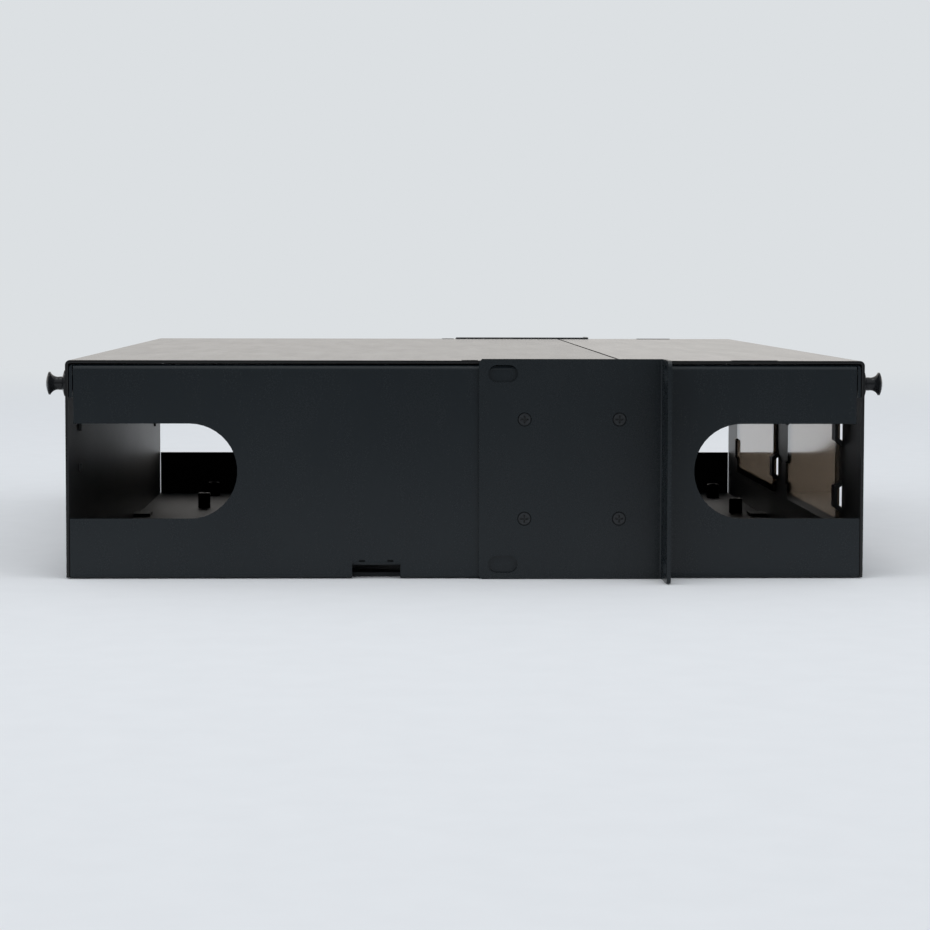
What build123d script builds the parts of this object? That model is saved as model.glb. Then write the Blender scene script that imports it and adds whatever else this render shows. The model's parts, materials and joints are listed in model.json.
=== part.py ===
from build123d import *
import math
import os

# Two-unit rack enclosure for fibre patching: a folded steel pan, two L-shaped covers that pull off
# the front and the rear, reversible rack brackets, and a bulkhead of adapter panels inside.
# X runs across the rack, the front is towards -Y, Z is up, and the part stands on Z = 0.

# Closed box, without the brackets and the pull knobs
body_width = 435.0
body_depth = 319.0
body_height = 87.2

# Sheets and their outer bend radii
chassis_sheet = 1.5
chassis_bend = 2.2
cover_sheet = 1.2
cover_bend = 2.0
rail_sheet = 1.2
rail_bend = 1.7
bracket_sheet = 1.6
bracket_bend = 2.4

# Gaps between pieces, and the overrun of every cut
overrun = 5.0
end_gap = 0.3
lip_gap = 0.4
wall_lip_gap = 0.4
seat_gap = 0.5
seam_gap = 1.2
pass_gap = 0.3
fit_gap = 0.05
press_gap = 0.02

# Side walls: flange at the top, cable notches open to both ends, tie gap at the bottom
wall_flange = 12.0
notch_height = 38.0
notch_floor = 24.0
notch_depth = 68.2
tie_gap_width = 19.3
tie_gap_height = 5.2
tie_gap_back = 123.55
tie_floor_inset = 9.0
tie_tab_reach = 8.0
tie_nick_width = 2.4
tie_nick_height = 0.8
tie_nick_inset = 2.8

# Cross rails behind the two end faces
rail_lip = 13.2
rail_flange = 20.0
rail_tab_height = 12.0
rail_tab_depth = 16.0

# Covers
seam_back = 97.2
cover_side_gap = 0.3
face_lift = 0.3
tongue_width = 16.0
tongue_reach = 8.0
tongue_places = (66.0,)
edge_pad_rise = 0.2
edge_pad_inset = 5.0
front_pad = (35.0, 53.3)
rear_pad = (154.9, 161.3)

# Windows in the front cover, their panes and the lanced tabs that hold them
window_width = 133.0
window_inner = 28.5
window_floor = 19.6
window_height = 48.4
window_corner = 1.0
pane_sheet = 1.6
pane_overlap = 4.0
pane_rise = 3.0
pane_gap = 0.2
pane_relief = 0.5
clip_height = 13.8
clip_ramp = 2.4
clip_foot = 2.4
clip_reach = 3.0
clip_width = 9.5
clip_places = (22.3, 50.2)

# Lanced slits in the rear cover
slit_width = 1.6
slit_height = 3.2
slit_inset = 37.5
slit_places = (42.0, 58.7)
slit_tab_reach = 1.0

# Push-pull fasteners: a plunger that slides in a split grommet
cover_fastener = {
    "head_radius": 4.6, "dome": 1.1, "rim": 0.6, "trumpet": 3.8, "neck_radius": 2.7, "reach": 8.6,
    "flange_radius": 5.25, "flange": 2.0, "flange_edge": 1.2, "flange_face": 3.0,
    "sleeve_radius": 3.1, "sleeve": 8.0, "shank_radius": 1.7, "tip": 0.6, "slot": 0.9, "root": 3.2}
panel_fastener = {
    "head_radius": 3.3, "dome": 0.4, "rim": 0.9, "trumpet": 1.1, "neck_radius": 1.9, "reach": 5.0,
    "flange_radius": 3.9, "flange": 0.9, "flange_edge": 0.3, "flange_face": 2.2,
    "sleeve_radius": 2.1, "sleeve": 6.0, "shank_radius": 1.1, "tip": 0.5, "slot": 0.6, "root": 3.4}
knob_inset = 9.5
knob_drop = 9.5

# Rack brackets: the short leg suits a 19 inch rack, the long leg a 23 inch one
rack_width = 482.6
rack_hole_width = 465.1
rack_hole_pitch = 76.2
bracket_rise = 0.7
bracket_back = 79.7
bracket_leg = 74.8
bracket_corner = 1.2
ear_corner = 3.0
slot_length = 11.8
slot_radius = 3.4
leg_slot_inset = 9.6
screw_backs = (98.4, 136.3)
screw_pitch = 39.7
screw_radius = 1.5
screw_head_radius = 2.75
screw_head = 1.25
screw_length = 7.0
recess_length = 3.2
recess_width = 0.75
recess_depth = 1.0
nut_radius = 3.4
nut_height = 2.2

# Bulkhead with its openings, three columns by two rows
bulkhead_sheet = 1.5
bulkhead_back = 91.5
bulkhead_top_flange = 18.0
bulkhead_foot = 14.0
panel_columns = (-1, 0, 1)
panel_rows = (-1, 1)
panel_gap_x = 6.5
panel_gap_z = 3.1
opening_rim_x = 9.75
opening_rim_z = 2.95
opening_corner = 2.0
panel_width = 129.5
panel_height = 34.9
panel_sheet = 1.6
panel_corner = 2.0
fastener_inset = 4.25

# Duplex adapters, six to a panel
adapter_count = 6
adapter_pitch = 17.5
adapter_width = 9.3
adapter_height = 12.8
adapter_front = 11.0
adapter_rear = 14.0
adapter_flange = 1.8
adapter_flange_width = 10.6
adapter_flange_height = 21.8
port_pitch = 6.25
port_width = 6.6
port_height = 5.0
port_depth = 8.5
sleeve_radius = 1.25
sleeve_bore = 0.65
sleeve_length = 6.5

# Standoffs on the floor, and the flush studs that carry the inner pieces
standoff_height = 7.5
standoff_bore_radius = 1.65
standoff_bore_depth = 6.0
standoff_chamfer = 0.5
front_standoff_radius = 3.4
front_standoff_inset = 14.0
front_standoff_places = (81.0, 181.0)
rear_standoff_radius = 3.2
rear_standoff_inset = 32.3
rear_standoff_places = (116.6, 196.6)
stud_radius = 2.0
stud_rise = 8.0
stud_places = (60.0, 190.0)
hex_flat = 7.0
hex_height = 3.2

# Splice trays with their combs and lids, stacked on two studs
tray_width = 168.0
tray_depth = 104.0
tray_height = 8.0
tray_sheet = 1.5
tray_wall = 1.6
tray_corner = 12.0
tray_centre_y = 20.0
tray_count = 3
tray_gate_width = 14.0
tray_stud_radius = 2.5
tray_stud_x = 74.0
tray_stud_rise = 12.0
lid_sheet = 1.2
comb_width = 62.0
comb_depth = 34.0
comb_height = 5.0
comb_offset_y = 26.0
comb_slots = 12
comb_slot_width = 2.6
comb_slot_depth = 3.6
guide_radius = 22.0
guide_wall = 1.5
guide_height = 5.5
guide_x = 38.0
guide_offset_y = -18.0
thumb_radius = 6.5
thumb_height = 7.0
thumb_grip = 0.7
thumb_grip_count = 16

# Slack spools
spool_x = 150.0
spool_y = 20.0
spool_radius = 38.0
spool_wall = 2.0
spool_height = 27.0
spool_foot_radius = 48.0
spool_foot = 2.0
petal_radius = 50.0
petal_sheet = 2.5
petal_width = 18.0
petal_count = 8
spool_hole_radius = 14.0
spool_stud_offset = 22.0

# Floor bridges for cable ties
bridge_length = 22.0
bridge_width = 5.0
bridge_rise = 4.0
bridge_ramp = 5.0
bridge_back = 64.5
bridge_places = (60.0, 125.0)

# Ground stud
ground_x = 196.0
ground_y = 82.0
ground_radius = 3.0
ground_rise = 16.0
ground_flat = 10.0
ground_nut = 5.0
washer_radius = 6.2
washer_sheet = 1.4

half_width = body_width / 2
half_depth = body_depth / 2
flange_top = body_height - cover_sheet - seat_gap
wall_inside = half_width - chassis_sheet
low_end = half_depth - cover_sheet - end_gap
lip_face = half_depth - cover_sheet - lip_gap
high_end = lip_face - rail_sheet - wall_lip_gap
notch_middle = notch_floor + notch_height / 2
bracket_height = body_height + bracket_rise
bracket_middle = bracket_height / 2
bulkhead_face = bulkhead_back - half_depth
panel_face = bulkhead_face - panel_sheet
panel_middle = (chassis_sheet + flange_top) / 2
panel_pitch_x = panel_width + panel_gap_x
panel_pitch_z = panel_height + panel_gap_z
opening_width = panel_width - 2 * opening_rim_x
opening_height = panel_height - 2 * opening_rim_z
fastener_pitch = panel_width - 2 * fastener_inset
knob_x = half_width - knob_inset
knob_height = body_height - knob_drop


def block(x, y, z):
    size = [high - low for low, high in (x, y, z)]
    middle = [(low + high) / 2 for low, high in (x, y, z)]
    return Pos(*middle) * Box(*size)


def rod(radius, length, x, y, z, turn=(0, 0, 0)):
    return Pos(x, y, z) * Rot(*turn) * Cylinder(radius, length)


# A folded sheet: the points follow one face, and the sheet lies to their left
def folded(points, sheet, bend, plane, span):
    way = [Vector(*point) for point in points]
    runs = [(after - before).normalized() for before, after in zip(way, way[1:])]
    lefts = [Vector(-run.Y, run.X) for run in runs]
    back = [way[0] + lefts[0] * sheet]
    for place, before, after in zip(way[1:], lefts, lefts[1:]):
        back.append(place + (before + after) * (sheet / (1 + before.dot(after))))
    back.append(way[-1] + lefts[-1] * sheet)
    face = make_face(Polyline(*way, *reversed(back), close=True))
    for index in range(1, len(way) - 1):
        corners = [way[index], back[index]]
        if runs[index - 1].cross(runs[index]).Z < 0:
            corners.reverse()
        for corner, radius in zip(corners, (bend, bend - sheet)):
            face = fillet(face.vertices().sort_by_distance(corner)[0], radius)
    return extrude(plane * face, span / 2, both=True)


def write(node, *solids):
    export_step(Compound(children=list(solids)), f"parts/{node}.step")


# Shape that a cable notch cuts through both side walls, at the front (-1) or the rear (1)
def notch_cut(end):
    radius = notch_height / 2
    centre = end * (half_depth - notch_depth + radius)
    mouth = end * (half_depth + overrun)
    across = (-half_width - overrun, half_width + overrun)
    straight = block(across, sorted((centre, mouth)), (notch_floor, notch_floor + notch_height))
    return straight + rod(radius, body_width + 2 * overrun, 0, centre, notch_middle, (0, 90, 0))


# Arch lanced out of the floor for a cable tie, with the slot that it leaves
def tie_bridge(x, y):
    top = chassis_sheet + bridge_rise
    half = bridge_length / 2
    path = [(half, 0), (half, chassis_sheet), (half - bridge_ramp, top),
            (bridge_ramp - half, top), (-half, chassis_sheet), (-half, 0)]
    inner = half - chassis_sheet
    lower = [(-inner, 0), (bridge_ramp - inner, top - chassis_sheet),
             (inner - bridge_ramp, top - chassis_sheet), (inner, 0)]
    arch = make_face(Polyline(*path, *lower, close=True))
    return Pos(x, y, 0) * extrude(Plane.XZ * arch, bridge_width / 2, both=True)


def chassis_pan():
    flange_end = half_width - wall_flange
    path = [(-flange_end, flange_top), (-half_width, flange_top), (-half_width, 0),
            (half_width, 0), (half_width, flange_top), (flange_end, flange_top)]
    pan = folded(path, chassis_sheet, chassis_bend, Plane.XZ, 2 * low_end)
    across = (-half_width - overrun, half_width + overrun)
    coped = (chassis_bend - half_width, half_width - chassis_bend)
    above = (flange_top - chassis_bend, flange_top + overrun)
    for end in (-1, 1):
        outside = end * (half_depth + overrun)
        pan = pan - notch_cut(end)
        pan = pan - block(across, sorted((end * high_end, outside)), (notch_middle, above[1]))
        rail_end = end * (lip_face - rail_flange - wall_lip_gap)
        pan = pan - block(coped, sorted((rail_end, outside)), above)
    for side in (-1, 1):
        pan = tie_gap(pan, side)
    for x, y, radius in floor_holes():
        pan = pan - rod(radius + press_gap, 2 * chassis_sheet + overrun, x, y, 0)
    for side in (-1, 1):
        for place in bridge_places:
            x, y = side * place, half_depth - bridge_back
            slot_x = (x - bridge_length / 2, x + bridge_length / 2)
            slot_y = (y - bridge_width / 2, y + bridge_width / 2)
            pan = pan - block(slot_x, slot_y, (-overrun, chassis_sheet + overrun))
            pan = pan + tie_bridge(x, y)
    for side in (-1, 1):
        for y, z in screw_places():
            pan = pan - rod(screw_radius + fit_gap, 2 * chassis_sheet + overrun,
                            side * half_width, y, z, (0, 90, 0))
    return pan


# Gap at the foot of a side wall, open below, with the wall's edge folded in as a tab between two nicks
def tie_gap(pan, side):
    middle = half_depth - tie_gap_back
    reach = (middle - tie_gap_width / 2, middle + tie_gap_width / 2)
    tab_root = tie_gap_height + chassis_bend
    foot = sorted((side * (half_width - tie_floor_inset), side * (half_width + overrun)))
    wall = sorted((side * (wall_inside - fit_gap), side * (half_width + overrun)))
    pan = pan - block(foot, reach, (-overrun, tie_gap_height)) - block(wall, reach, (-overrun, tab_root))
    tip = tie_tab_reach - wall_inside
    path = [(-half_width, tab_root), (-half_width, tie_gap_height), (tip, tie_gap_height)]
    tab = Pos(0, middle, 0) * folded(path, chassis_sheet, chassis_bend, Plane.XZ, tie_gap_width)
    pan = pan + (tab if side < 0 else tab.mirror(Plane.YZ))
    nick_z = (tab_root - tie_nick_height, tab_root)
    for start in (reach[0] + tie_nick_inset, reach[1] - tie_nick_inset - tie_nick_width):
        pan = pan - block(wall, (start, start + tie_nick_width), nick_z)
    return pan


# Every piece that is pressed into the floor: its place and the radius of its hole
def floor_holes():
    holes = [(x, y, stud_radius) for x, y in bulkhead_studs() + spool_studs()]
    holes += [(x, y, tray_stud_radius) for x, y in tray_studs()]
    holes.append((ground_x, ground_y, ground_radius))
    return holes


def bulkhead_studs():
    y = bulkhead_face + bulkhead_sheet + bulkhead_foot / 2
    return [(side * place, y) for side in (-1, 1) for place in stud_places]


def spool_studs():
    return [(side * spool_x, spool_y + way * spool_stud_offset) for side in (-1, 1) for way in (-1, 1)]


def tray_studs():
    return [(side * tray_stud_x, tray_centre_y) for side in (-1, 1)]


def screw_places():
    rises = (bracket_middle - screw_pitch / 2, bracket_middle + screw_pitch / 2)
    return [(back - half_depth, z) for back in screw_backs for z in rises]


# Cross rail behind the front face: a lip over the wall ends, a flange between the walls
def cross_rail():
    path = [(rail_flange - lip_face, flange_top), (-lip_face, flange_top),
            (-lip_face, flange_top - rail_lip)]
    rail = folded(path, rail_sheet, rail_bend, Plane.YZ, body_width)
    flange_side = half_width - chassis_bend
    tab_top = flange_top - chassis_bend
    for side in (-1, 1):
        corner_x = sorted((side * flange_side, side * (half_width + overrun)))
        behind = (-high_end - wall_lip_gap, half_depth)
        rail = rail - block(corner_x, behind, (notch_middle, flange_top + overrun))
        tab_y = (rail_sheet + wall_lip_gap - lip_face, rail_tab_depth - lip_face)
        tab_x = sorted((side * (wall_inside - rail_sheet), side * wall_inside))
        neck_x = sorted((side * (flange_side - rail_sheet), side * flange_side))
        rail = rail + block(tab_x, tab_y, (tab_top - rail_tab_height, tab_top))
        rail = rail + block(neck_x, tab_y, (tab_top - rail_sheet, flange_top - rail_sheet / 2))
        hole = cover_fastener["sleeve_radius"] + pass_gap
        rail = rail - rod(hole, 2 * rail_sheet, side * knob_x, -lip_face, knob_height, (90, 0, 0))
    return rail


# The front one has its lip cut back where a pane stands as high as the lip
def front_rail():
    rail = cross_rail()
    for side in (-1, 1):
        inner, outer = window_edges(side)
        reach = pane_overlap + pane_relief
        x = sorted((inner - side * reach, outer + side * reach))
        pane_top = window_floor + window_height + pane_rise
        lip_y = (-half_depth, rail_sheet + pane_relief - lip_face)
        rail = rail - block(x, lip_y, (window_floor, pane_top + pane_relief))
    return rail


# Folded L of a cover at the front, as wide as the box, with its grommet holes and floor tongues
def cover_shell(depth, pad):
    path = [(depth - half_depth, body_height), (-half_depth, body_height), (-half_depth, face_lift)]
    cover_side = half_width - cover_side_gap
    cover = folded(path, cover_sheet, cover_bend, Plane.YZ, 2 * cover_side)
    inside = cover_sheet - half_depth
    for side in (-1, 1):
        hole = cover_fastener["sleeve_radius"] + fit_gap
        cover = cover - rod(hole, 2 * cover_sheet + overrun,
                            side * knob_x, -half_depth, knob_height, (90, 0, 0))
        for place in tongue_places:
            x = (side * place - tongue_width / 2, side * place + tongue_width / 2)
            y = (inside - cover_sheet / 2, inside + tongue_reach)
            low = chassis_sheet + pass_gap
            cover = cover + block(x, y, (low, low + cover_sheet))
        pad_x = sorted((side * (cover_side - edge_pad_inset), side * cover_side))
        pad_y = (pad[0] - half_depth, pad[1] - half_depth)
        top = body_height - cover_sheet / 2
        cover = cover + block(pad_x, pad_y, (top, body_height + edge_pad_rise))
    return cover


# Bridge lanced beside a window, with a hook over the pane, and its opening; out is away from the window
def pane_clip(edge, out, low):
    inside = cover_sheet - half_depth
    back = inside + pane_sheet + pane_gap
    top = back + cover_sheet
    high = low + clip_height
    seat = inside - cover_sheet / 2
    lean = clip_ramp * (back - inside) / (top - inside)
    first, last = low + clip_foot, high - clip_foot
    upper = [(seat, low), (inside, low), (top, low + clip_ramp),
             (top, high - clip_ramp), (inside, high), (seat, high)]
    lower = [(seat, last), (inside, last), (back, last - lean),
             (back, first + lean), (inside, first), (seat, first)]
    root = edge + out * (pane_overlap + pane_gap)
    end = edge + out * clip_width
    arch = make_face(Polyline(*upper, *lower, close=True))
    bridge = Pos(min(root, end), 0, 0) * extrude(Plane.YZ * arch, abs(end - root))
    hook_x = sorted((edge + out * (pane_overlap - clip_reach), root + out * cover_sheet))
    hook = block(hook_x, (back, top), (low + clip_ramp, high - clip_ramp))
    opening_x = sorted((edge - out * cover_sheet, end))
    return bridge + hook, block(opening_x, (-half_depth - overrun, inside + overrun), (first, last))


def window_edges(side):
    return side * window_inner, side * (window_inner + window_width)


def front_cover():
    cover = cover_shell(seam_back - seam_gap / 2, front_pad)
    inside = cover_sheet - half_depth
    for side in (-1, 1):
        inner, outer = window_edges(side)
        opening = RectangleRounded(window_width, window_height, window_corner)
        centre = Pos((inner + outer) / 2, -half_depth, window_floor + window_height / 2)
        cover = cover - centre * extrude(Plane.XZ * opening, cover_sheet + overrun, both=True)
        for edge, out in ((inner, -side), (outer, side)):
            for low in clip_places:
                clip, gap = pane_clip(edge, out, low)
                cover = cover - gap + clip
    return cover


def window_pane(side):
    inner, outer = window_edges(side)
    inside = cover_sheet - half_depth
    x = sorted((inner - side * pane_overlap, outer + side * pane_overlap))
    z = (window_floor - pane_rise, window_floor + window_height + pane_rise)
    return block(x, (inside, inside + pane_sheet), z)


# Built at the front and turned to the rear by the caller
def rear_cover():
    seam_front = body_depth - seam_back - seam_gap / 2
    pad = (body_depth - rear_pad[1], body_depth - rear_pad[0])
    cover = cover_shell(seam_front, pad)
    inside = cover_sheet - half_depth
    for side in (-1, 1):
        x = side * (half_width - slit_inset)
        for middle in slit_places:
            z = (middle - slit_height / 2, middle + slit_height / 2)
            slit_x = (x - slit_width / 2, x + slit_width / 2)
            cover = cover - block(slit_x, (-half_depth - overrun, inside + overrun), z)
            tab_x = sorted((x - side * slit_width / 2, x - side * (slit_width / 2 + cover_sheet)))
            cover = cover + block(tab_x, (inside - cover_sheet / 2, inside + slit_tab_reach), z)
    return cover


# Plunger, pointing out along -Y from a face at Y = 0
def plunger(size):
    flange, reach, neck = size["flange"] + fit_gap, size["reach"], size["neck_radius"]
    head, shank = size["head_radius"], size["shank_radius"]
    rim_top = reach - size["dome"]
    rim_back = rim_top - size["rim"]
    neck_top = rim_back - size["trumpet"]
    tip = size["sleeve"] + size["tip"]
    bow = 1 - math.sqrt(2) / 2
    middle = (neck + (head - neck) * bow, rim_back - size["trumpet"] * bow)
    below = Polyline((0, reach), (0, -tip), (shank - size["tip"], -tip), (shank, -size["sleeve"]),
                     (shank, flange), (neck, flange), (neck, neck_top))
    trumpet = ThreePointArc((neck, neck_top), middle, (head, rim_back))
    rim = Line((head, rim_back), (head, rim_top))
    sphere = (head ** 2 + size["dome"] ** 2) / (2 * size["dome"])
    dome_middle = (head / 2, reach - sphere + math.sqrt(sphere ** 2 - head ** 2 / 4))
    dome = ThreePointArc((head, rim_top), dome_middle, (0, reach))
    outline = below + trumpet + rim + dome
    return Rot(180, 0, 0) * revolve(make_face(outline), Axis.Y)


# Grommet that the plunger slides in: a domed flange and a sleeve split into legs
def grommet(size):
    bore = size["shank_radius"] + fit_gap
    flange, edge, sleeve = size["flange"], size["flange_edge"], size["sleeve"]
    outline = Polyline(
        (bore, flange), (size["flange_face"], flange), (size["flange_radius"], edge),
        (size["flange_radius"], 0), (size["sleeve_radius"], 0), (size["sleeve_radius"], -sleeve),
        (bore, -sleeve), close=True)
    body = revolve(make_face(outline), Axis.Y)
    legs = (-sleeve - overrun, -size["root"])
    wide = (-size["flange_radius"], size["flange_radius"])
    thin = (-size["slot"] / 2, size["slot"] / 2)
    body = body - block(wide, legs, thin) - block(thin, legs, wide)
    return Rot(180, 0, 0) * body


def bracket(side):
    ear_y = bracket_back - half_depth
    leg_y = ear_y + bracket_leg
    path = [(half_width, leg_y), (half_width, ear_y), (rack_width / 2, ear_y)]
    plate = Pos(0, 0, bracket_middle) * folded(path, bracket_sheet, bracket_bend, Plane.XY, bracket_height)
    leg_edges = plate.edges().filter_by(Axis.X).group_by(Axis.Y)[-1]
    plate = chamfer(leg_edges, bracket_corner)
    ear_edges = plate.edges().filter_by(Axis.Y).group_by(Axis.X)[-1]
    plate = fillet(ear_edges, ear_corner)
    slot = SlotOverall(slot_length, 2 * slot_radius)
    for rise in (-rack_hole_pitch / 2, rack_hole_pitch / 2):
        z = bracket_middle + rise
        ear_slot = extrude(Plane.XZ * slot, bracket_sheet + overrun, both=True)
        plate = plate - Pos(rack_hole_width / 2, ear_y, z) * ear_slot
        leg_slot = extrude(Plane.YZ * slot, bracket_sheet + overrun, both=True)
        plate = plate - Pos(half_width, leg_y - leg_slot_inset, z) * leg_slot
    for y, z in screw_places():
        plate = plate - Pos(half_width, y, z) * Rot(0, 90, 0) * screw_seat()
    if side < 0:
        plate = mirror(plate, about=Plane.YZ)
    return plate


# Countersunk screw along +Z, its head's face flush with a bracket that starts at Z = 0
def head_cone(extra):
    top, bottom = screw_head_radius + extra, screw_radius + extra
    return Pos(0, 0, bracket_sheet - screw_head / 2) * Cone(bottom, top, screw_head)


def screw_seat():
    return head_cone(fit_gap) + rod(screw_radius + fit_gap, 2 * bracket_sheet + overrun, 0, 0, 0)


def bracket_screw():
    shank_top = bracket_sheet - screw_head / 2
    shank = block_rod(screw_radius, bracket_sheet - screw_length, shank_top)
    screw = head_cone(0) + shank
    for turn in (0, 90):
        arm = Box(recess_length, recess_width, 2 * recess_depth)
        screw = screw - Pos(0, 0, bracket_sheet) * Rot(0, 0, turn) * arm
    return screw


def block_rod(radius, low, high):
    return rod(radius, high - low, 0, 0, (low + high) / 2)


def clinch_nut():
    low = -chassis_sheet - nut_height
    nut = block_rod(nut_radius, low, -chassis_sheet)
    return nut - block_rod(screw_radius + press_gap, low - overrun, overrun)


# The sub-part set at every screw place of both brackets, pointing out of the side walls
def at_screws(piece):
    placed = []
    for side in (-1, 1):
        for y, z in screw_places():
            placed.append(Pos(side * half_width, y, z) * Rot(0, side * 90, 0) * piece)
    return placed


def panel_centres():
    places = []
    for row in panel_rows:
        for column in panel_columns:
            places.append((column * panel_pitch_x, panel_middle + row * panel_pitch_z / 2))
    return places


def fastener_places(x, z):
    return [(x - fastener_pitch / 2, z), (x + fastener_pitch / 2, z)]


def bulkhead():
    face = bulkhead_face
    path = [(face + bulkhead_foot, chassis_sheet), (face, chassis_sheet), (face, flange_top),
            (face + bulkhead_top_flange, flange_top)]
    path.reverse()
    panel = folded(path, bulkhead_sheet, chassis_bend, Plane.YZ, 2 * (wall_inside - press_gap))
    notch_low = flange_top - chassis_bend - bulkhead_sheet
    for side in (-1, 1):
        x = sorted((side * (half_width - wall_flange - pass_gap), side * (half_width + overrun)))
        through = (face - overrun, face + bulkhead_top_flange + overrun)
        panel = panel - block(x, through, (notch_low, flange_top + overrun))
        corner_x = sorted((side * (half_width - chassis_bend), side * (half_width + overrun)))
        panel = panel - block(corner_x, through, (0, chassis_bend))
    for x, z in panel_centres():
        opening = RectangleRounded(opening_width, opening_height, opening_corner)
        panel = panel - Pos(x, face, z) * extrude(Plane.XZ * opening, 2 * bulkhead_sheet, both=True)
        for hole_x, hole_z in fastener_places(x, z):
            hole = panel_fastener["sleeve_radius"] + fit_gap
            panel = panel - rod(hole, bulkhead_sheet + overrun, hole_x, face, hole_z, (90, 0, 0))
    for x, y in bulkhead_studs():
        panel = panel - rod(stud_radius + press_gap, overrun, x, y, chassis_sheet)
    return panel


def adapter_panel(x, z):
    outline = RectangleRounded(panel_width, panel_height, panel_corner)
    for offset in adapter_offsets():
        hole = Rectangle(adapter_width + fit_gap, adapter_height + fit_gap)
        outline = outline - Pos(offset, 0) * hole
    for side in (-1, 1):
        hole = panel_fastener["sleeve_radius"] + fit_gap
        outline = outline - Pos(side * fastener_pitch / 2, 0) * Circle(hole)
    return Pos(x, bulkhead_face, z) * extrude(Plane.XZ * outline, panel_sheet)


def adapter_offsets():
    return [(index - (adapter_count - 1) / 2) * adapter_pitch for index in range(adapter_count)]


# Duplex adapter through a panel whose front face is at Y = 0
def duplex_adapter():
    half, tall = adapter_width / 2, adapter_height / 2
    body = block((-half, half), (-adapter_front, adapter_rear), (-tall, tall))
    body = body + block((-adapter_flange_width / 2, adapter_flange_width / 2), (-adapter_flange, 0),
                        (-adapter_flange_height / 2, adapter_flange_height / 2))
    for rise in (-port_pitch / 2, port_pitch / 2):
        for mouth, way in ((-adapter_front, 1), (adapter_rear, -1)):
            y = sorted((mouth - way * overrun, mouth + way * port_depth))
            z = (rise - port_height / 2, rise + port_height / 2)
            body = body - block((-port_width / 2, port_width / 2), y, z)
            middle = mouth + way * (port_depth - sleeve_length / 2 + press_gap)
            body = body + rod(sleeve_radius, sleeve_length + 2 * press_gap, 0, middle, rise, (90, 0, 0))
        body = body - rod(sleeve_bore, adapter_front + adapter_rear + 2 * overrun, 0, 0, rise, (90, 0, 0))
    return body


def adapters(x, z):
    adapter = duplex_adapter()
    return [Pos(x + offset, panel_face, z) * adapter for offset in adapter_offsets()]


# Clinched standoff on the floor, with a threaded hole from above
def standoff(x, y, radius):
    top = chassis_sheet + standoff_height
    post = Pos(x, y, 0) * block_rod(radius, chassis_sheet, top)
    post = chamfer(post.edges().group_by(Axis.Z)[-1], standoff_chamfer)
    return post - Pos(x, y, 0) * block_rod(standoff_bore_radius, top - standoff_bore_depth, top + overrun)


def standoffs(end, inset, places, radius):
    y = end * (half_depth - inset)
    return [standoff(side * place, y, radius) for side in (-1, 1) for place in places]


# Stud pressed flush into the floor, with a chamfered end
def stud(x, y, radius, top):
    post = Pos(x, y, 0) * block_rod(radius, 0, top)
    return chamfer(post.edges().group_by(Axis.Z)[-1], standoff_chamfer)


def hex_nut(x, y, low, flat, height, hole):
    outline = RegularPolygon(flat / 2, 6, major_radius=False) - Circle(hole + press_gap)
    return Pos(x, y, low) * extrude(outline, height)


def tray_floor(index):
    return chassis_sheet + index * (tray_height + lid_sheet)


def tray_outline(inset):
    return RectangleRounded(tray_width - 2 * inset, tray_depth - 2 * inset, tray_corner - inset)


def stud_holes(radius, height):
    return [rod(radius, height, x, 0, 0) for x in (-tray_stud_x, tray_stud_x)]


def splice_tray(index):
    tray = extrude(tray_outline(0), tray_height)
    tray = tray - Pos(0, 0, tray_sheet) * extrude(tray_outline(tray_wall), tray_height)
    gate_y = (-tray_depth / 2 - overrun, tray_wall + overrun - tray_depth / 2)
    for side in (-1, 1):
        x = side * guide_x
        gate_x = (x - tray_gate_width / 2, x + tray_gate_width / 2)
        tray = tray - block(gate_x, gate_y, (tray_sheet, tray_height + overrun))
        rise = (tray_sheet + guide_height) / 2
        ring = rod(guide_radius, tray_sheet + guide_height, x, guide_offset_y, rise)
        bore = rod(guide_radius - guide_wall, 2 * guide_height, x, guide_offset_y, tray_sheet + guide_height)
        tray = tray + (ring - bore)
    for hole in stud_holes(tray_stud_radius + fit_gap, 2 * tray_height + overrun):
        tray = tray - hole
    return Pos(0, tray_centre_y, tray_floor(index)) * tray


# Comb that holds the splice sleeves, in the middle of a tray
def splice_comb(index):
    half = comb_width / 2
    depth = (comb_offset_y - comb_depth / 2, comb_offset_y + comb_depth / 2)
    comb = block((-half, half), depth, (tray_sheet, tray_sheet + comb_height))
    for number in range(comb_slots):
        x = (number - (comb_slots - 1) / 2) * comb_width / comb_slots
        slot_x = (x - comb_slot_width / 2, x + comb_slot_width / 2)
        low = tray_sheet + comb_height - comb_slot_depth
        slot_y = (depth[0] - overrun, depth[1] + overrun)
        comb = comb - block(slot_x, slot_y, (low, low + 2 * comb_slot_depth))
    return Pos(0, tray_centre_y, tray_floor(index)) * comb


def tray_lid(index):
    lid = Pos(0, 0, tray_height) * extrude(tray_outline(0), lid_sheet)
    for hole in stud_holes(tray_stud_radius + fit_gap, 2 * tray_height + overrun):
        lid = lid - Pos(0, 0, tray_height) * hole
    return Pos(0, tray_centre_y, tray_floor(index)) * lid


# Thumb nut with a fluted rim, on top of the tray stack
def thumb_nut(x, y):
    nut = Circle(thumb_radius)
    for number in range(thumb_grip_count):
        nut = nut - Rot(0, 0, number * 360 / thumb_grip_count) * Pos(thumb_radius, 0) * Circle(thumb_grip)
    nut = nut - Circle(tray_stud_radius + press_gap)
    return Pos(x, y, tray_floor(tray_count)) * extrude(nut, thumb_height)


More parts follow.
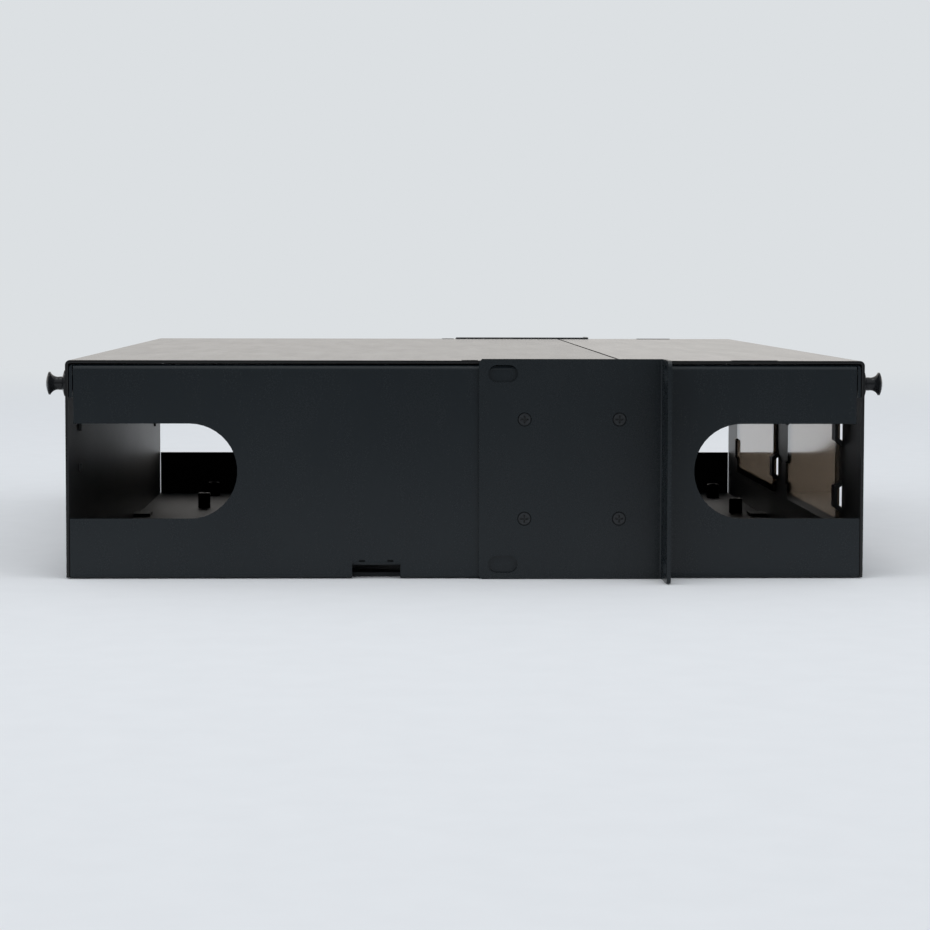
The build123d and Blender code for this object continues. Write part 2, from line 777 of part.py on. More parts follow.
# Slack spool: a drum with a foot, a closed top and petals that keep the turns in
def slack_spool(side):
    drum = block_rod(spool_radius, 0, spool_height) + block_rod(spool_foot_radius, 0, spool_foot)
    drum = drum - block_rod(spool_radius - spool_wall, spool_foot, spool_height - petal_sheet)
    for number in range(petal_count):
        petal_z = (spool_height - petal_sheet, spool_height)
        petal = block((0, petal_radius), (-petal_width / 2, petal_width / 2), petal_z)
        petal = petal & block_rod(petal_radius, 0, spool_height)
        drum = drum + Rot(0, 0, number * 360 / petal_count) * petal
    drum = drum - block_rod(spool_hole_radius, spool_foot, spool_height + overrun)
    for way in (-1, 1):
        drum = drum - rod(stud_radius + press_gap, 2 * overrun, 0, way * spool_stud_offset, 0)
    return Pos(side * spool_x, spool_y, chassis_sheet) * drum


def ground_pieces():
    post = stud(ground_x, ground_y, ground_radius, chassis_sheet + ground_rise)
    washer = Circle(washer_radius) - Circle(ground_radius + press_gap)
    washer = Pos(ground_x, ground_y, chassis_sheet) * extrude(washer, washer_sheet)
    low = chassis_sheet + washer_sheet
    nut = hex_nut(ground_x, ground_y, low, ground_flat, ground_nut, ground_radius)
    return post, washer, nut


def main():
    os.makedirs("parts", exist_ok=True)
    to_rear = Rot(0, 0, 180)
    write("chassis_pan", chassis_pan())
    write("front_rail", front_rail())
    write("rear_rail", to_rear * cross_rail())
    write("front_cover", front_cover())
    write("rear_cover", to_rear * rear_cover())
    write("window_left", window_pane(-1))
    write("window_right", window_pane(1))
    write("bracket_left", bracket(-1))
    write("bracket_right", bracket(1))
    write("bracket_screws", *at_screws(bracket_screw()))
    write("clinch_nuts", *at_screws(clinch_nut()))

    knob, sleeve = plunger(cover_fastener), grommet(cover_fastener)
    left, right = (Pos(side * knob_x, -half_depth, knob_height) for side in (-1, 1))
    write("front_plunger_left", left * knob)
    write("front_plunger_right", right * knob)
    write("rear_plunger_left", to_rear * right * knob)
    write("rear_plunger_right", to_rear * left * knob)
    write("front_grommets", left * sleeve, right * sleeve)
    write("rear_grommets", to_rear * left * sleeve, to_rear * right * sleeve)

    write("adapter_bulkhead", bulkhead())
    pin, bush = plunger(panel_fastener), grommet(panel_fastener)
    bushes = []
    for number, (x, z) in enumerate(panel_centres(), 1):
        write(f"adapter_panel_{number}", adapter_panel(x, z))
        write(f"duplex_adapters_{number}", *adapters(x, z))
        for name, (pin_x, pin_z) in zip(("left", "right"), fastener_places(x, z)):
            write(f"panel_plunger_{number}_{name}", Pos(pin_x, panel_face, pin_z) * pin)
            bushes.append(Pos(pin_x, panel_face, pin_z) * bush)
    write("panel_grommets", *bushes)

    write("front_standoffs",
          *standoffs(-1, front_standoff_inset, front_standoff_places, front_standoff_radius))
    write("rear_standoffs",
          *standoffs(1, rear_standoff_inset, rear_standoff_places, rear_standoff_radius))
    foot_top, spool_top = chassis_sheet + bulkhead_sheet, chassis_sheet + spool_foot
    studs, nuts = [], []
    for places, seat in ((bulkhead_studs(), foot_top), (spool_studs(), spool_top)):
        studs += [stud(x, y, stud_radius, seat + stud_rise) for x, y in places]
        nuts += [hex_nut(x, y, seat, hex_flat, hex_height, stud_radius) for x, y in places]
    write("floor_studs", *studs)
    write("floor_nuts", *nuts)

    for index, name in enumerate(("lower", "middle", "upper")):
        write(f"splice_tray_{name}", splice_tray(index))
    write("splice_combs", *[splice_comb(index) for index in range(tray_count)])
    write("tray_lids", *[tray_lid(index) for index in range(tray_count)])
    stack_top = tray_floor(tray_count) + tray_stud_rise
    write("tray_studs", *[stud(x, y, tray_stud_radius, stack_top) for x, y in tray_studs()])
    write("tray_thumb_nuts", *[thumb_nut(x, y) for x, y in tray_studs()])
    write("slack_spool_left", slack_spool(-1))
    write("slack_spool_right", slack_spool(1))
    post, washer, nut = ground_pieces()
    write("ground_stud", post)
    write("ground_washer", washer)
    write("ground_nut", nut)


main()
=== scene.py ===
import json
from math import cos, pi, radians, sin
import bmesh
import bpy
from mathutils import Matrix, Vector


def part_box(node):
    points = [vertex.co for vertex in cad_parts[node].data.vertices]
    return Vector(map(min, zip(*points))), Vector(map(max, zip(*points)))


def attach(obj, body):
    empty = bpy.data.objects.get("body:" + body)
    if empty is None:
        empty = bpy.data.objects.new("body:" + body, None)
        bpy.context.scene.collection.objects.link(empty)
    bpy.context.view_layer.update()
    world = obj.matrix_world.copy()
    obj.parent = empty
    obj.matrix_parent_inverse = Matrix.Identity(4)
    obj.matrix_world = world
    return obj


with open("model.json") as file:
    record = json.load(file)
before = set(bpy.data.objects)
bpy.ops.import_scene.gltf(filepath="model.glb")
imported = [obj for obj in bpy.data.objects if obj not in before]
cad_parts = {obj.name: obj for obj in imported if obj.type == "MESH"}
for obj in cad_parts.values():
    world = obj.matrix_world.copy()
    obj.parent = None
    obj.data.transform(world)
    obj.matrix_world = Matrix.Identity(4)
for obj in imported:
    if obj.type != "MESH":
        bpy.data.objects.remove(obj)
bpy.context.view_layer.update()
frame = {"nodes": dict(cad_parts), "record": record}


cameraSet = {"place": (-1.3149, 0.0298, 0.1179), "turn": -1.529, "tip": 3.773, "lean": 0.112, "lens": 106.63,
             "clip": (0.01, 60)}


def makeCamera(c):
    turn, tip, lean = (radians(c[key]) for key in ("turn", "tip", "lean"))
    ahead = Vector((cos(tip) * cos(turn), cos(tip) * sin(turn), -sin(tip)))
    flat = Vector((sin(turn), -cos(turn), 0))
    rise = flat.cross(ahead)
    right = flat * cos(lean) + rise * sin(lean)
    up = rise * cos(lean) - flat * sin(lean)
    data = bpy.data.cameras.new("camera")
    data.lens = c["lens"]
    data.clip_start, data.clip_end = c["clip"]
    camera = bpy.data.objects.new("camera", data)
    bpy.context.scene.collection.objects.link(camera)
    camera.matrix_world = Matrix.Translation(c["place"]) @ Matrix((right, up, -ahead)).transposed().to_4x4()
    bpy.context.scene.camera = camera


makeCamera(cameraSet)


class Wire:                              # a socket's value, for sums and products in plain Python
    def __init__(self, look, socket):
        self.look, self.socket = look, socket

    def join(self, operation, first, second=0.0):
        return self.look.add("ShaderNodeMath", {"operation": operation}, {0: first, 1: second})

    def __add__(self, other): return self.join("ADD", self, other)
    def __radd__(self, other): return self.join("ADD", other, self)
    def __sub__(self, other): return self.join("SUBTRACT", self, other)
    def __rsub__(self, other): return self.join("SUBTRACT", other, self)
    def __mul__(self, other): return self.join("MULTIPLY", self, other)
    def __rmul__(self, other): return self.join("MULTIPLY", other, self)
    def __truediv__(self, other): return self.join("DIVIDE", self, other)
    def __pow__(self, other): return self.join("POWER", self, other)


class Tree:                              # a node tree, written one node to a call
    def __init__(self, tree):
        self.tree = tree

    def add(self, kind, settings=None, inputs=None, out=0):
        node = self.tree.nodes.new(kind)
        for key, value in (settings or {}).items():
            if key == "stops":
                while len(node.color_ramp.elements) < len(value):
                    node.color_ramp.elements.new(1)
                for stop, (place, tone) in zip(node.color_ramp.elements, value):
                    stop.position, stop.color = place, tone
            else:
                setattr(node, key, value)
        for key, value in (inputs or {}).items():
            if isinstance(value, Wire):
                self.tree.links.new(value.socket, node.inputs[key])
            else:
                node.inputs[key].default_value = value
        return Wire(self, node.outputs[out]) if len(node.outputs) else node


class Look(Tree):                        # one material or world
    def __init__(self, owner):
        owner.use_nodes = True
        super().__init__(owner.node_tree)
        self.owner = owner
        self.tree.nodes.clear()

    def spot(self, stretch=(1, 1, 1), shift=(0, 0, 0), turn=(0, 0, 0)):
        here = self.add("ShaderNodeTexCoord", out="Object")
        return self.add("ShaderNodeMapping", {}, {"Vector": here, "Scale": stretch, "Location": shift,
                                                  "Rotation": turn})

    def noise(self, scale, detail=2.0, rough=0.5, **place):
        return self.add("ShaderNodeTexNoise", {}, {"Vector": self.spot(**place), "Scale": scale, "Detail": detail,
                                                   "Roughness": rough})

    def fit(self, value, low, high, newLow=0.0, newHigh=1.0):
        return self.add("ShaderNodeMapRange", {}, {0: value, 1: low, 2: high, 3: newLow, 4: newHigh})

    def blend(self, share, first, second):
        return self.add("ShaderNodeMix", {"data_type": "RGBA"}, {0: share, 6: first, 7: second}, 2)

    def whole(self, value):                                   # a number without its sign
        return self.add("ShaderNodeMath", {"operation": "ABSOLUTE"}, {0: value})

    def axes(self):                                           # the object's own X, Y and Z
        here = self.add("ShaderNodeTexCoord", out="Object")
        across = self.add("ShaderNodeSeparateXYZ", {}, {0: here})
        return {axis: Wire(self, across.socket.node.outputs[axis]) for axis in ("X", "Y", "Z")}

    def bump(self, height, strength, distance):
        return self.add("ShaderNodeBump", {}, {"Height": height, "Strength": strength, "Distance": distance})

    def finish(self, **sockets):
        shader = self.add("ShaderNodeBsdfPrincipled", {}, {key.replace("_", " "): v for key, v in sockets.items()})
        kind = "ShaderNodeOutputWorld" if isinstance(self.owner, bpy.types.World) else "ShaderNodeOutputMaterial"
        self.add(kind, {}, {"Surface": shader})
        return self.owner


def newLook(name):
    return Look(bpy.data.materials.new(name))


def paint(red, green, blue):
    return (red, green, blue, 1.0)


roomSet = {
    "paper": (paint(0.81, 0.815, 0.835), paint(0.825, 0.83, 0.85)), "grain": 60.0,
    "floorRadius": 12.0, "floorSides": 96, "floorDrop": 0.0002, "fadeStart": 1.0, "fadeEnd": 2.6,
    "distance": paint(0.716, 0.745, 0.768), "tableEnd": (-1.15, -0.45),
    "dome": (1.50, 0.58), "domeSpan": (-0.9, 0.9),            # diffuse light from the front and from behind
    "rim": (1.5, 0.62), "rimSpan": (0.05, 0.8),               # more of it low down, less overhead
    "front": 0.13, "behind": 0.80, "shineSpan": (-0.5, 0.5),  # what glossy faces see around them
    "overhead": 0.97, "overheadSpan": (0.15, 0.7),
    "cool": paint(0.93, 0.97, 1.0), "warm": paint(1.0, 0.975, 0.945), "warmSpan": (-0.2, 0.6)}

lampSet = {"top": {"place": (-0.35, 0.1, 1.7), "aim": (0, 0, 0), "size": (0.7, 0.7), "watts": 4}}


def makeFloor(r):
    mesh = bmesh.new()
    bmesh.ops.create_circle(mesh, cap_ends=True, segments=r["floorSides"], radius=r["floorRadius"])
    data = bpy.data.meshes.new("floor")
    mesh.to_mesh(data)
    mesh.free()
    data.transform(Matrix.Translation((0, 0, -r["floorDrop"])))
    floor = bpy.data.objects.new("floor", data)
    bpy.context.scene.collection.objects.link(floor)
    look = newLook("pale paper")
    sheet = look.blend(look.fit(look.noise(r["grain"], 3.0), 0.3, 0.7), *r["paper"])
    matt = look.add("ShaderNodeBsdfDiffuse", {}, {"Color": sheet})
    glow = look.add("ShaderNodeEmission", {}, {"Color": r["distance"], "Strength": 1.0})
    here = look.add("ShaderNodeTexCoord", out="Object")
    reach = look.add("ShaderNodeVectorMath", {"operation": "LENGTH"}, {0: here}, "Value")
    far = look.add("ShaderNodeMapRange", {"interpolation_type": "SMOOTHSTEP"},
                   {0: reach, 1: r["fadeStart"], 2: r["fadeEnd"]})
    whole = look.add("ShaderNodeMixShader", {}, {0: far, 1: matt, 2: glow})
    side = look.add("ShaderNodeSeparateXYZ", {}, {0: here}, "X")
    glossy = look.add("ShaderNodeLightPath", out="Is Glossy Ray")
    ended = glossy * look.fit(side, *r["tableEnd"], 1.0, 0.0)           # a dark room behind the camera
    dark = look.add("ShaderNodeEmission", {}, {"Color": r["cool"], "Strength": r["front"]})
    seen = look.add("ShaderNodeMixShader", {}, {0: ended, 1: whole, 2: dark})
    look.add("ShaderNodeOutputMaterial", {}, {"Surface": seen})
    data.materials.append(look.owner)


def makeRoom(r):
    world = bpy.data.worlds.new("studio")
    bpy.context.scene.world = world
    look = Look(world)
    way = look.add("ShaderNodeTexCoord", out="Generated")
    ahead = look.add("ShaderNodeSeparateXYZ", {}, {0: way}, "X")
    height = Wire(look, ahead.socket.node.outputs["Z"])
    camera = look.add("ShaderNodeLightPath", out="Is Camera Ray")
    ray = camera.socket.node.outputs
    glossy, clear = Wire(look, ray["Is Glossy Ray"]), Wire(look, ray["Is Transmission Ray"])
    around = look.fit(ahead, *r["shineSpan"], r["front"], r["behind"])
    shine = look.fit(height, *r["overheadSpan"]) * (r["overhead"] - around) + around
    dome = look.fit(ahead, *r["domeSpan"], *r["dome"]) * look.fit(height, *r["rimSpan"], *r["rim"])
    tone = glossy * (shine - dome) + dome
    colour = look.blend(glossy * look.fit(ahead, *r["warmSpan"]), r["cool"], r["warm"])
    seen = look.add("ShaderNodeMath", {"operation": "MAXIMUM"}, {0: camera, 1: clear})
    light = look.add("ShaderNodeBackground", {}, {"Color": colour, "Strength": tone})
    plain = look.add("ShaderNodeBackground", {}, {"Color": r["distance"], "Strength": 1.0})
    room = look.add("ShaderNodeMixShader", {}, {0: seen, 1: light, 2: plain})
    look.add("ShaderNodeOutputWorld", {}, {"Surface": room})


def makeLamps(lamps):
    for name, lamp in lamps.items():
        data = bpy.data.lights.new(name, "AREA")
        data.shape, (data.size, data.size_y), data.energy = "RECTANGLE", lamp["size"], lamp["watts"]
        holder = bpy.data.objects.new(name, data)
        bpy.context.scene.collection.objects.link(holder)
        place = Vector(lamp["place"])
        facing = (Vector(lamp["aim"]) - place).to_track_quat("-Z", "Y").to_matrix().to_4x4()
        holder.matrix_world = Matrix.Translation(place) @ facing


makeFloor(roomSet)
makeRoom(roomSet)
makeLamps(lampSet)
bpy.context.scene.view_settings.view_transform = "Standard"
print("camera, floor and lamps ready")


grainSet = {"fine": 2600.0, "soft": 420.0, "cloud": 9.0, "rub": 30.0, "rubStretch": (0.5, 3.0, 1.2),
            "speck": paint(0.022, 0.024, 0.026), "peel": 0.0000012, "edge": 0.0002, "frontPart": (-0.062, -0.061)}

powderSet = {
    "pan": {"tones": (paint(0.0056, 0.0084, 0.0107), paint(0.0075, 0.0106, 0.0130)), "gloss": (0.24, 0.28),
            "inside": 0.20, "outer": {"X": 0.2170, "Z": 0.0852}, "rear": 0.0},
    "cover": {"tones": (paint(0.0070, 0.0072, 0.0075), paint(0.0095, 0.0096, 0.0100)), "gloss": (0.13, 0.16),
              "inside": 0.25, "outer": {"Y": 0.1589, "Z": 0.0866}, "rear": 0.03},
    "bracket": {"tones": (paint(0.0058, 0.0086, 0.0108), paint(0.0079, 0.0108, 0.0130)), "gloss": (0.25, 0.29),
                "inside": 0.0, "outer": {"X": 0.2170}, "rear": 0.0}}


def powderCoat(name, p, g):
    look = newLook(name)
    fine = look.noise(g["fine"], 2.0, 0.6)                    # the coat's orange peel, about 0.4 mm
    soft = look.noise(g["soft"], 2.0, shift=(3, 1, 2))
    cloud = look.noise(g["cloud"], 3.0, shift=(1, 4, 2))
    rub = look.noise(g["rub"], 4.0, 0.65, stretch=g["rubStretch"], shift=(5, 0, 1))
    coat = look.blend(look.fit(cloud, 0.35, 0.65), *p["tones"])
    coat = look.blend(look.fit(fine, 0.62, 0.80, 0.0, 0.25), coat, g["speck"])
    gloss = look.fit(rub, 0.3, 0.7, *p["gloss"]) + look.fit(fine, 0.3, 0.7, -0.02, 0.02)
    here = look.axes()
    inner = 1.0                                               # inner faces are sprayed thinner and look duller
    for axis, face in p["outer"].items():
        inner = look.fit(look.whole(here[axis]), face - g["edge"], face, 1.0, 0.0) * inner
    back = look.fit(here["Y"], *g["frontPart"], 0.0, p["rear"])
    gloss = gloss + inner * p["inside"] + back
    normal = look.bump(fine * 0.7 + soft * 0.6, 1.0, g["peel"])
    return look.finish(Base_Color=coat, Roughness=gloss, Normal=normal, Specular_IOR_Level=0.30)


# screw heads; the gap colour is painted shade, drawn in a ring round each head
screwSet = {"tones": (paint(0.0085, 0.0100, 0.0118), paint(0.016, 0.018, 0.0205)), "gap": paint(0.001, 0.001, 0.0012),
            "gloss": (0.30, 0.40), "rim": (0.0022, 0.0027),
            "middle": {"Y": -0.04215, "Z": 0.04395}, "halfPitch": {"Y": 0.01895, "Z": 0.01985}}


def blackOxide(p):
    look = newLook("black oxide")
    grain = look.noise(1800.0, 3.0)
    tone = look.blend(look.fit(grain, 0.35, 0.65), *p["tones"])
    here = look.axes()
    apart = []                                                # distance from the nearest of the four screws' axes
    for axis, middle in p["middle"].items():
        off = look.whole(here[axis] - middle) - p["halfPitch"][axis]
        apart.append(off * off)
    reach = look.add("ShaderNodeMath", {"operation": "SQRT"}, {0: apart[0] + apart[1]})
    rim = look.fit(reach, *p["rim"])                          # painted shade: the gap round a head in its countersink drawn as a near-black, metallic ring
    tone = look.blend(rim, tone, p["gap"])
    return look.finish(Base_Color=tone, Roughness=look.fit(grain, 0.3, 0.7, *p["gloss"]), Metallic=rim,
                       Normal=look.bump(grain, 0.2, 0.00005), Specular_IOR_Level=0.36)


nylonSet = {"tones": (paint(0.008, 0.0085, 0.0095), paint(0.014, 0.0145, 0.016)), "gloss": (0.12, 0.20)}


def blackNylon(p):
    look = newLook("black nylon")
    grain = look.noise(900.0, 3.0)
    flow = look.noise(120.0, 2.0, stretch=(1, 0.3, 1))
    tone = look.blend(look.fit(flow, 0.35, 0.65), *p["tones"])
    return look.finish(Base_Color=tone, Roughness=look.fit(grain, 0.3, 0.7, *p["gloss"]),
                       Normal=look.bump(grain, 0.08, 0.00005), Specular_IOR_Level=0.22)


clearSet = {
    "bronze": {"tones": (paint(0.33, 0.25, 0.18), paint(0.36, 0.275, 0.20)), "wave": 14.0, "dust": 2200.0,
               "dusty": (0.35, 0.75), "gloss": (0.06, 0.11), "flat": 0.15, "clear": 0.9, "index": 1.49},
    "lid": {"tones": (paint(0.90, 0.93, 0.95), paint(0.94, 0.96, 0.97)), "wave": 18.0, "dust": 1900.0,
            "dusty": (0.5, 0.75), "gloss": (0.04, 0.12), "flat": 0.1, "clear": 1.0, "index": 1.58}}


def clearSheet(name, p):
    look = newLook(name)
    wave = look.noise(p["wave"], 1.0)
    dust = look.noise(p["dust"], 4.0, 0.7)
    tint = look.blend(look.fit(wave, 0.3, 0.7), *p["tones"])
    return look.finish(Base_Color=tint, Roughness=look.fit(dust, *p["dusty"], *p["gloss"]),
                       Normal=look.bump(wave, p["flat"], 0.0002), Transmission_Weight=p["clear"], IOR=p["index"])


zincSet = {"tones": (paint(0.56, 0.57, 0.58), paint(0.63, 0.62, 0.58)), "dull": paint(0.40, 0.41, 0.43),
           "gloss": (0.24, 0.40)}


def zincPlate(p):
    look = newLook("zinc plate")
    grain = look.noise(700.0, 4.0, 0.6)
    cloud = look.noise(90.0, 2.0)
    tone = look.blend(look.fit(cloud, 0.35, 0.65), *p["tones"])
    tone = look.blend(look.fit(grain, 0.5, 0.75, 0.0, 0.5), tone, p["dull"])
    return look.finish(Base_Color=tone, Metallic=1.0, Roughness=look.fit(grain, 0.3, 0.7, *p["gloss"]),
                       Normal=look.bump(grain, 0.15, 0.00008))


mouldedSet = {
    "adapter": {"tones": (paint(0.018, 0.105, 0.30), paint(0.024, 0.125, 0.35)), "gloss": (0.32, 0.44),
                "grain": 1500.0, "level": 0.5},
    "tray": {"tones": (paint(0.022, 0.022, 0.024), paint(0.030, 0.030, 0.032)), "gloss": (0.42, 0.54),
             "grain": 1500.0, "level": 0.5},
    "comb": {"tones": (paint(0.50, 0.50, 0.47), paint(0.58, 0.58, 0.55)), "gloss": (0.56, 0.68),
             "grain": 900.0, "level": 0.35}}


def moulded(name, p):
    look = newLook(name)
    grain = look.noise(p["grain"], 3.0)
    cloud = look.noise(60.0, 2.0)
    tone = look.blend(look.fit(cloud, 0.35, 0.65), *p["tones"])
    return look.finish(Base_Color=tone, Roughness=look.fit(grain, 0.3, 0.7, *p["gloss"]),
                       Normal=look.bump(grain, 0.25, 0.00005), Specular_IOR_Level=p["level"])


finishes = {
    "powder_coat_pan": powderCoat("powder coat pan", powderSet["pan"], grainSet),
    "powder_coat_cover": powderCoat("powder coat cover", powderSet["cover"], grainSet),
    "powder_coat_bracket": powderCoat("powder coat bracket", powderSet["bracket"], grainSet),
    "black_screw": blackOxide(screwSet),
    "black_nylon": blackNylon(nylonSet),
    "bronze_acrylic": clearSheet("bronze acrylic", clearSet["bronze"]),
    "zinc_steel": zincPlate(zincSet),
    "adapter_blue": moulded("adapter blue", mouldedSet["adapter"]),
    "tray_plastic": moulded("tray plastic", mouldedSet["tray"]),
    "tray_clear": clearSheet("clear polycarbonate", clearSet["lid"]),
    "comb_rubber": moulded("comb rubber", mouldedSet["comb"])}


weldDistance = 0.00001


class Shape(Tree):                       # one Geometry Nodes tree with named sizes
    def __init__(self, name, sizes):
        super().__init__(bpy.data.node_groups.new(name, "GeometryNodeTree"))
        self.tree.interface.new_socket("Points", in_out="INPUT", socket_type="NodeSocketGeometry")
        self.tree.interface.new_socket("Mesh", in_out="OUTPUT", socket_type="NodeSocketGeometry")
        self.keys = {}
        for size in sizes:
            socket = self.tree.interface.new_socket(size, in_out="INPUT", socket_type="NodeSocketFloat")
            self.keys[size] = socket.identifier
        self.given = self.tree.nodes.new("NodeGroupInput")

    def size(self, name):
        return Wire(self, self.given.outputs[name])

    def triple(self, x=0.0, y=0.0, z=0.0):
        return self.add("ShaderNodeCombineXYZ", {}, {0: x, 1: y, 2: z})

    def moved(self, mesh, place, turn=(0, 0, 0)):
        return self.add("GeometryNodeTransform", {}, {"Geometry": mesh, "Translation": place, "Rotation": turn})

    def merged(self, *meshes):
        joined = self.tree.nodes.new("GeometryNodeJoinGeometry")
        for mesh in meshes:
            self.tree.links.new(mesh.socket, joined.inputs[0])
        return Wire(self, joined.outputs[0])

    def outline(self, width, height, radius):                 # rectangle with one facet at each corner
        plain = self.add("GeometryNodeCurvePrimitiveQuadrilateral", {"mode": "RECTANGLE"},
                         {"Width": width, "Height": height})
        return self.add("GeometryNodeFilletCurve", {"mode": "POLY"}, {"Curve": plain, "Count": 1, "Radius": radius})

    def slab(self, width, height, radius, low, thick, taper=1.0):     # closed block from an outline, along Z
        flat = self.add("GeometryNodeFillCurve", {"mode": "NGONS"}, {0: self.outline(width, height, radius)})
        grown = self.add("GeometryNodeExtrudeMesh", {"mode": "FACES"}, {
            "Mesh": flat, "Offset": self.triple(z=1.0), "Offset Scale": thick, "Individual": False})
        top = Wire(self, grown.socket.node.outputs["Top"])
        grown = self.add("GeometryNodeScaleElements", {}, {"Geometry": grown, "Selection": top, "Scale": taper})
        foot = self.add("GeometryNodeFlipFaces", {}, {"Mesh": flat})
        closed = self.add("GeometryNodeMergeByDistance", {}, {"Geometry": self.merged(grown, foot),
                                                              "Distance": weldDistance})
        return self.moved(closed, self.triple(z=low))

    def repeat(self, shape, finish, turn=(0, 0, 0)):
        placed = self.add("GeometryNodeInstanceOnPoints", {}, {
            "Points": self.size("Points"), "Instance": shape, "Rotation": turn})
        real = self.add("GeometryNodeRealizeInstances", {}, {0: placed})
        done = self.add("GeometryNodeSetMaterial", {}, {"Geometry": real, "Material": finish})
        self.add("NodeGroupOutput", {}, {0: done})


def growPiece(name, shape, sizes, places, turns=None):
    data = bpy.data.meshes.new(name + "_points")
    data.from_pydata(places, [], [])
    if turns:
        data.attributes.new("turn", "FLOAT", "POINT").data.foreach_set("value", turns)
    seed = bpy.data.objects.new(name + "_points", data)
    bpy.context.scene.collection.objects.link(seed)
    grown = seed.modifiers.new("grow", "NODES")
    grown.node_group = shape.tree
    for size, value in sizes.items():
        grown[shape.keys[size]] = value
    mesh = bpy.data.meshes.new_from_object(seed.evaluated_get(bpy.context.evaluated_depsgraph_get()))
    mesh.name = name
    seed.modifiers.remove(grown)
    bpy.data.objects.remove(seed)
    piece = bpy.data.objects.new(name, mesh)
    bpy.context.scene.collection.objects.link(piece)
    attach(piece, "chassis")
    print(name, len(places), "places,", len(mesh.polygons), "faces")
    return piece


threadSet = {
    "floor_stud_threads": {"Radius": 0.00198, "Length": 0.0040, "Pitch": 0.0007, "Ridge": 0.00026},
    "tray_stud_threads": {"Radius": 0.00248, "Length": 0.0040, "Pitch": 0.0008, "Ridge": 0.00028},
    "ground_stud_thread": {"Radius": 0.00298, "Length": 0.0086, "Pitch": 0.0010, "Ridge": 0.00034}}


def threadShape(finish):
    shape = Shape("stud thread", ("Radius", "Length", "Pitch", "Ridge"))
    turns = shape.size("Length") / shape.size("Pitch")
    coil = shape.add("GeometryNodeCurveSpiral", {}, {
        "Resolution": 18, "Rotations": turns, "Start Radius": shape.size("Radius"),
        "End Radius": shape.size("Radius"), "Height": shape.size("Length")})
    ridge = shape.add("GeometryNodeCurvePrimitiveCircle", {"mode": "RADIUS"}, {
        "Resolution": 4, "Radius": shape.size("Ridge")})
    swept = shape.add("GeometryNodeCurveToMesh", {}, {0: coil, "Profile Curve": ridge, "Fill Caps": True})
    shape.repeat(swept, finish)
    return shape


threadPlaces = {"studRadius": 0.002, "bulkheadX": 0.060, "bulkheadZ": 0.0064, "spoolX": 0.150, "spoolStep": 0.022,
                "spoolZ": 0.0069, "trayX": 0.074, "trayY": 0.020, "trayZ": 0.0364, "groundZ": 0.0082}


def middleOf(node):
    low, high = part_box(node)
    return (low[0] + high[0]) / 2, (low[1] + high[1]) / 2


def makeThreads(p):
    shape = threadShape(finishes["zinc_steel"])
    low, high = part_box("floor_studs")
    edge, row = p["studRadius"], low[1] + p["studRadius"]
    floor = [(x, row, p["bulkheadZ"]) for x in (low[0] + edge, high[0] - edge, -p["bulkheadX"], p["bulkheadX"])]
    spoolY = middleOf("slack_spool_left")[1]
    floor += [(side * p["spoolX"], spoolY + way * p["spoolStep"], p["spoolZ"]) for side in (-1, 1) for way in (-1, 1)]
    tray = [(side * p["trayX"], p["trayY"], p["trayZ"]) for side in (-1, 1)]
    ground = [middleOf("ground_stud") + (p["groundZ"],)]
    for name, places in (("floor_stud_threads", floor), ("tray_stud_threads", tray), ("ground_stud_thread", ground)):
        growPiece(name, shape, threadSet[name], places)


capSet = {"PlugWidth": 0.0062, "PlugHeight": 0.0046, "PlugDepth": 0.0017, "PlugCorner": 0.0005, "PlugLap": 0.0004,
          "RimWidth": 0.0084, "RimHeight": 0.0059, "RimDepth": 0.0012, "RimCorner": 0.0008, "RimLift": 0.0001,
          "GripWidth": 0.0050, "GripHeight": 0.0036, "GripDepth": 0.0042, "GripCorner": 0.0007,
          "LipDepth": 0.0008, "LipLap": 0.0009, "RimTaper": 0.94, "GripTaper": 0.78, "LipTaper": 0.96}


def capShape(finish):
    shape = Shape("dust cap", tuple(capSet))
    size = shape.size
    plug = shape.slab(size("PlugWidth"), size("PlugHeight"), size("PlugCorner"), -1 * size("PlugDepth"),
                      size("PlugDepth") + size("PlugLap"))
    rim = shape.slab(size("RimWidth"), size("RimHeight"), size("RimCorner"), size("RimLift"), size("RimDepth"),
                     size("RimTaper"))
    grip = shape.slab(size("GripWidth"), size("GripHeight"), size("GripCorner"), size("RimDepth"),
                      size("GripDepth"), size("GripTaper"))
    lip = shape.slab(size("GripWidth"), size("GripHeight"), size("GripCorner"),
                     size("RimDepth") + size("GripDepth") - size("LipLap"), size("LipDepth"), size("LipTaper"))
    turn = shape.add("GeometryNodeInputNamedAttribute", {"data_type": "FLOAT"}, {"Name": "turn"})
    shape.repeat(shape.merged(plug, rim, grip, lip), finish, shape.triple(x=pi / 2, z=turn))
    return shape


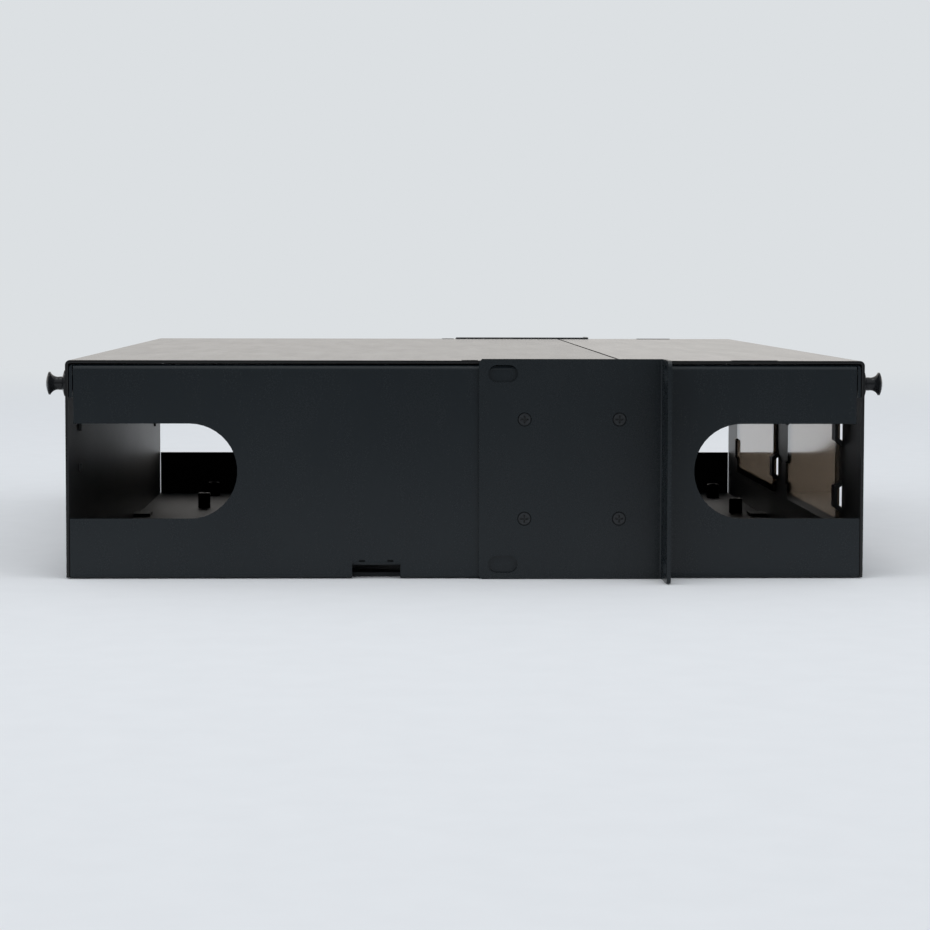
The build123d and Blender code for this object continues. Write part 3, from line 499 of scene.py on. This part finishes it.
clipSet = {"Width": 0.0097, "Height": 0.0132, "Depth": 0.0052, "Sheet": 0.00025, "Corner": 0.0006,
           "TangWidth": 0.0034, "TangHeight": 0.0040, "TangCorner": 0.0003, "TangOut": 0.0004, "TangDrop": 0.0002,
           "TangLean": 0.22}


def springClipShape(finish):
    shape = Shape("adapter spring clip", tuple(clipSet))
    size = shape.size
    band = shape.outline(size("Width"), size("Height"), size("Corner"))
    strip = shape.add("GeometryNodeCurvePrimitiveQuadrilateral", {"mode": "RECTANGLE"}, {
        "Width": size("Sheet"), "Height": size("Depth")})
    ring = shape.add("GeometryNodeCurveToMesh", {}, {0: band, "Profile Curve": strip, "Fill Caps": True})
    tang = shape.slab(size("TangWidth"), size("TangHeight"), size("TangCorner"), 0.0, size("Sheet"))
    pieces = [ring]
    for side in (-1, 1):
        place = shape.triple(x=side * (size("Width") / 2 + size("TangOut")), z=-1 * size("TangDrop"))
        pieces.append(shape.moved(tang, place, shape.triple(y=side * (pi / 2 - size("TangLean")))))
    shape.repeat(shape.merged(*pieces), finish, (pi / 2, 0, 0))
    return shape


adapterSet = {"panels": 6, "count": 6, "half": 0.0053, "front": 0.0110, "portRise": 0.003125, "clipBack": 0.0048}


def makeAdapterDetail(a):
    caps, turns, clips = [], [], []
    for index in range(1, a["panels"] + 1):
        low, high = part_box(f"duplex_adapters_{index}")
        middle = (low[2] + high[2]) / 2
        for step in range(a["count"]):
            x = low[0] + a["half"] + step * (high[0] - low[0] - 2 * a["half"]) / (a["count"] - 1)
            clips.append((x, low[1] + a["front"] + a["clipBack"], middle))
            for rise in (-a["portRise"], a["portRise"]):
                caps += [(x, low[1], middle + rise), (x, high[1], middle + rise)]
                turns += [0.0, pi]
    growPiece("dust_caps", capShape(finishes["comb_rubber"]), capSet, caps, turns)
    growPiece("adapter_spring_clips", springClipShape(finishes["zinc_steel"]), clipSet, clips)


for part in frame["record"]["subparts"]:
    for place in frame["nodes"][part["node"]].material_slots:
        place.material = finishes[part["material_slot"]]
makeThreads(threadPlaces)
makeAdapterDetail(adapterSet)
